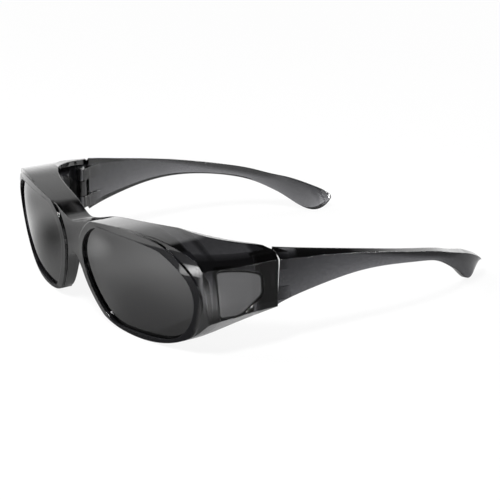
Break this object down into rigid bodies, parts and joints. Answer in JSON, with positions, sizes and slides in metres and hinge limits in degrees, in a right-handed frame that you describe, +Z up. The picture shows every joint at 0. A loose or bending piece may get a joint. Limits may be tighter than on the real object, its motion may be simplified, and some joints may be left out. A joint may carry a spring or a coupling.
{
  "type": "fitover sunglasses",
  "caption": "Wraparound fitover sunglasses with grey lenses, clear-sided side shields and folding temples, worn over other glasses.",
  "frame": {"origin": "on the table under the middle of the open pair, where it stands on both rims and both temple tips", "axes": "+X to the wearer's left, +Y from the lenses back to the temple tips, +Z up"},
  "size_m": [0.154, 0.164, 0.0444],
  "materials": {
    "smoke_plastic": "glossy smoke grey, slightly see-through",
    "smoke_lens": "dark grey polycarbonate",
    "smoke_side_lens": "grey polycarbonate",
    "pin_steel": "bright steel"
  },
  "bodies": {
    "front": {"front_frame": "smoke_plastic", "left_lens": "smoke_lens", "right_lens": "smoke_lens", "left_side_lens": "smoke_side_lens", "right_side_lens": "smoke_side_lens"},
    "left_arm": {"left_temple": "smoke_plastic", "left_hinge_pin": "pin_steel"},
    "right_arm": {"right_temple": "smoke_plastic", "right_hinge_pin": "pin_steel"}
  },
  "joints": [
    {"name": "left_fold", "type": "hinge", "parent": "front", "child": "left_arm", "pos_m": [0.069, -0.0402, 0.0264], "axis": [0, 0, 1], "range_deg": [0, 88]},
    {"name": "right_fold", "type": "hinge", "parent": "front", "child": "right_arm", "pos_m": [-0.069, -0.0402, 0.0264], "axis": [0, 0, -1], "range_deg": [0, 82]}
  ]
}
